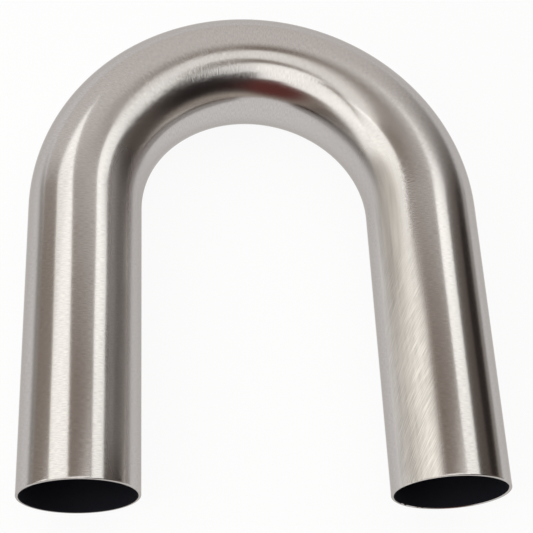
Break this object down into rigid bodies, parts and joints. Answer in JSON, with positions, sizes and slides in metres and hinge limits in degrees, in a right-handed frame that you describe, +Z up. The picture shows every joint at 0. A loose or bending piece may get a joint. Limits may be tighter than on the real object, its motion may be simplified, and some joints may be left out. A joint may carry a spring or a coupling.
{
  "type": "return bend",
  "caption": "U-shaped return bend of thin satin stainless tube: a half-turn mandrel bend with a straight leg at each side, plain open ends, to turn a gas or exhaust pipe back on itself.",
  "frame": {"origin": "on the floor under the centre of the part's box, with the bend lying on its side", "axes": "+X across the legs, from the left leg to the right leg; +Y along the legs, from the open ends towards the crown of the bend; +Z up, square to the plane of the bend"},
  "size_m": [0.2574, 0.2948, 0.0635],
  "materials": {
    "satin_stainless": "satin, belt brushed round the tube"
  },
  "bodies": {
    "root": {"return_bend": "satin_stainless"}
  },
  "joints": []
}
